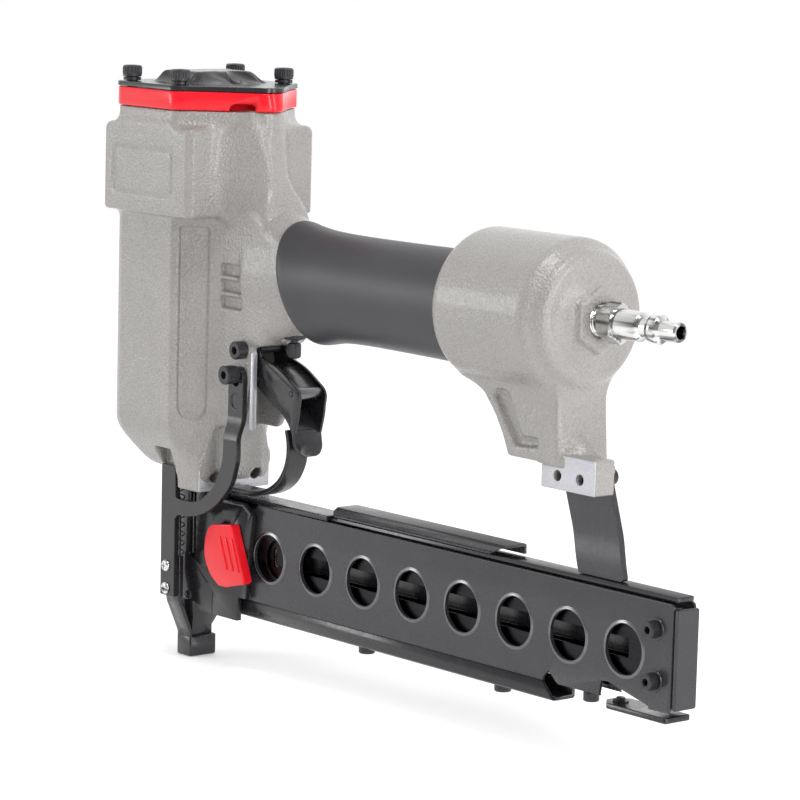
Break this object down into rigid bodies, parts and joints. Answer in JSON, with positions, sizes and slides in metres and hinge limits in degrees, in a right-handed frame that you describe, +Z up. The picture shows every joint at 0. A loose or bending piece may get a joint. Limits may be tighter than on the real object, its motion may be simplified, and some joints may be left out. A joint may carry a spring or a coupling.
{
  "type": "pneumatic flooring nailer",
  "caption": "Air-powered flooring nailer with a cast body, rubber grip, trigger, nose safety and a long side magazine with round windows.",
  "frame": {"origin": "the middle of the safety foot's front edge, on the work surface; the driver axis stands 5.2 mm behind it", "axes": "+Z up along the driver axis; +X from the nose towards the magazine's tail and the air plug; the tool is close to mirrored in Y"},
  "size_m": [0.3464, 0.071, 0.2686],
  "materials": {
    "hammered_paint": "hammered warm grey paint",
    "black_coat": "satin black coating",
    "black_screw": "black oxide",
    "steel": "bright",
    "alloy": "machined",
    "bright_plating": "polished nickel",
    "seal": "matte",
    "red_gloss": "glossy red",
    "soft_rubber": "soft satin"
  },
  "bodies": {
    "tool_body": {"body_casting": "hammered_paint", "exhaust_ring": "red_gloss", "head_cover_plate": "black_coat", "head_screw_1": "black_screw", "head_screw_2": "black_screw", "head_screw_3": "black_screw", "head_screw_4": "black_screw", "head_washer_1": "black_screw", "head_washer_2": "black_screw", "head_washer_3": "black_screw", "head_washer_4": "black_screw", "cylinder_sleeve": "alloy", "rubber_bumper": "seal", "rubber_grip": "soft_rubber", "air_plug": "bright_plating", "trigger_valve_housing": "black_screw", "trigger_pivot_screw": "black_screw", "safety_guide_screw": "black_screw", "safety_guide_washer": "black_screw", "trigger_guard": "black_coat", "nose_housing": "black_coat", "nose_front_plate": "black_coat", "nose_rivet": "black_screw", "latch_pin": "steel", "magazine_top_rail": "black_coat", "magazine_hood": "black_coat", "magazine_low_rail": "black_coat", "magazine_core_rail": "steel", "rear_bracket": "black_coat", "bracket_screw_1": "black_screw", "bracket_screw_2": "black_screw", "head_valve_spring": "steel", "trigger_valve_spring": "steel", "safety_spring": "steel"},
    "driver": {"piston": "alloy", "piston_o_ring": "seal", "driver_blade": "steel"},
    "head_valve_piston": {"head_valve": "seal"},
    "valve_stem": {"trigger_valve_stem": "black_screw"},
    "trigger_channel": {"trigger": "black_screw", "trigger_lever_pin": "black_screw"},
    "trigger_inner_lever": {"trigger_lever": "black_screw"},
    "safety_yoke": {"safety_plate": "black_coat", "safety_foot": "black_coat", "safety_foot_screw_1": "bright_plating", "safety_foot_screw_2": "bright_plating", "safety_pin_front": "black_screw", "safety_pin_rear": "black_screw"},
    "latch": {"magazine_latch": "red_gloss"},
    "magazine_slide": {"magazine_near_cover": "black_coat", "magazine_far_cover": "black_coat", "magazine_tail_block": "black_coat", "magazine_tail_plate": "black_coat", "magazine_tail_foot": "black_coat", "tail_screw_1": "black_screw", "tail_screw_2": "black_screw"},
    "pusher_slide": {"staple_pusher": "steel", "pusher_roll_spring": "steel", "pusher_spring_drum": "seal"}
  },
  "joints": [
    {"name": "driver_stroke", "type": "slide", "parent": "tool_body", "child": "driver", "axis": [0, 0, -1], "range_m": [0, 0.07]},
    {"name": "head_valve_lift", "type": "slide", "parent": "tool_body", "child": "head_valve_piston", "axis": [0, 0, 1], "range_m": [0, 0.004], "stiffness_N_per_m": 1500, "springref_m": -0.002, "deforming": ["head_valve_spring"]},
    {"name": "trigger_pull", "type": "hinge", "parent": "tool_body", "child": "trigger_channel", "pos_m": [0.052, 0, 0.1466], "axis": [0, -1, 0], "range_deg": [0, 12], "stiffness_Nm_per_rad": 2, "springref_deg": -8.59},
    {"name": "trigger_lever_tilt", "type": "hinge", "parent": "trigger_channel", "child": "trigger_inner_lever", "pos_m": [0.0798, 0, 0.13], "axis": [0, 1, 0], "range_deg": [0, 4], "stiffness_Nm_per_rad": 0.5, "springref_deg": -8.59},
    {"name": "valve_stem_press", "type": "slide", "parent": "tool_body", "child": "valve_stem", "axis": [0, 0, 1], "range_m": [0, 0.0025], "deforming": ["trigger_valve_spring"]},
    {"name": "safety_press", "type": "slide", "parent": "tool_body", "child": "safety_yoke", "axis": [0, 0, 1], "range_m": [0, 0.003], "stiffness_N_per_m": 4000, "springref_m": -0.006, "deforming": ["safety_spring"]},
    {"name": "latch_swing", "type": "hinge", "parent": "tool_body", "child": "latch", "pos_m": [0.0367, 0, 0.062], "axis": [0, 1, 0], "range_deg": [0, 12], "stiffness_Nm_per_rad": 0.5, "springref_deg": -11.46},
    {"name": "magazine_open", "type": "slide", "parent": "tool_body", "child": "magazine_slide", "axis": [1, 0, 0], "range_m": [0, 0.18]},
    {"name": "pusher_draw", "type": "slide", "parent": "tool_body", "child": "pusher_slide", "axis": [1, 0, 0], "range_m": [0, 0.2], "stiffness_N_per_m": 10, "springref_m": -0.5}
  ],
  "couplings": [
    {"joint": "valve_stem_press", "follows": "trigger_pull", "m_per_rad": 0.0119}
  ]
}
